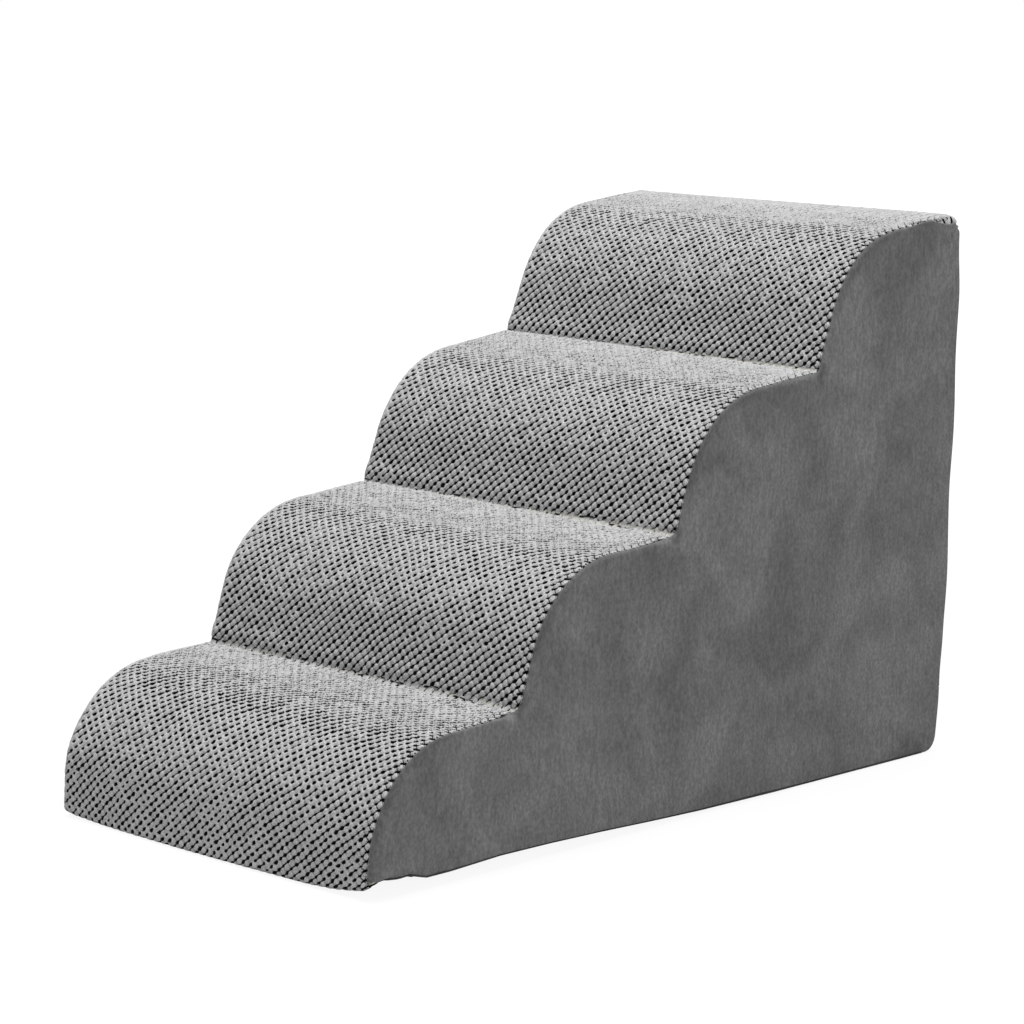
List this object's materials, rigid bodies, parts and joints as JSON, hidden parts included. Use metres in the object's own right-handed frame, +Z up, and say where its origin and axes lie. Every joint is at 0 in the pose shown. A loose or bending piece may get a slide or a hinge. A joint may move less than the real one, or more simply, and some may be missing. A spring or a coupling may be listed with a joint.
{
  "type": "pet stairs",
  "caption": "Foam pet stairs with sloped, round-nosed steps, in a zip-off cover of knobbly knit treads and short plush sides.",
  "frame": {"origin": "on the floor, under the middle of the stairs", "axes": "+X to the right seen from the low end, +Y from the low step to the back, +Z up"},
  "size_m": [0.4, 0.7627, 0.509],
  "materials": {
    "knit": "thick light-grey knobbly knit",
    "plush": "short dark-grey pile",
    "base_fabric": "black woven fabric with rubber grip dots",
    "foam": "open-cell polyurethane foam, cut face",
    "hook": "moulded nylon hooks on a tape",
    "loop": "brushed nylon loops on a tape",
    "zip_tape": "woven polyester tape",
    "zip_chain": "moulded chain, satin",
    "zip_metal": "dark nickel plate"
  },
  "bodies": {
    "stairs": {"tread_panel": "knit", "left_side_panel": "plush", "right_side_panel": "plush", "back_panel_upper": "plush", "back_panel_lower": "plush", "base_panel": "base_fabric", "foam_tier_1": "foam", "foam_tier_2": "foam", "foam_tier_3": "foam", "foam_tier_4": "foam", "hook_strip_1": "hook", "hook_strip_2": "hook", "hook_strip_3": "hook", "loop_strip_1": "loop", "loop_strip_2": "loop", "loop_strip_3": "loop", "zip_tape_upper": "zip_tape", "zip_tape_lower": "zip_tape", "zip_teeth_upper": "zip_chain", "zip_teeth_lower": "zip_chain", "zip_end_stops": "zip_metal", "zip_bottom_stop": "zip_chain"},
    "slider": {"zip_slider": "zip_metal"},
    "pull": {"zip_pull": "zip_metal"}
  },
  "joints": [
    {"name": "zip_run", "type": "slide", "parent": "stairs", "child": "slider", "axis": [1, 0, 0], "range_m": [0, 0.3288], "deforming": ["zip_teeth_upper", "zip_teeth_lower"]},
    {"name": "pull_hinge", "type": "hinge", "parent": "slider", "child": "pull", "pos_m": [-0.1649, 0.36712, 0.06196], "axis": [0, 0.0349, 0.9994], "range_deg": [0, 170]}
  ]
}
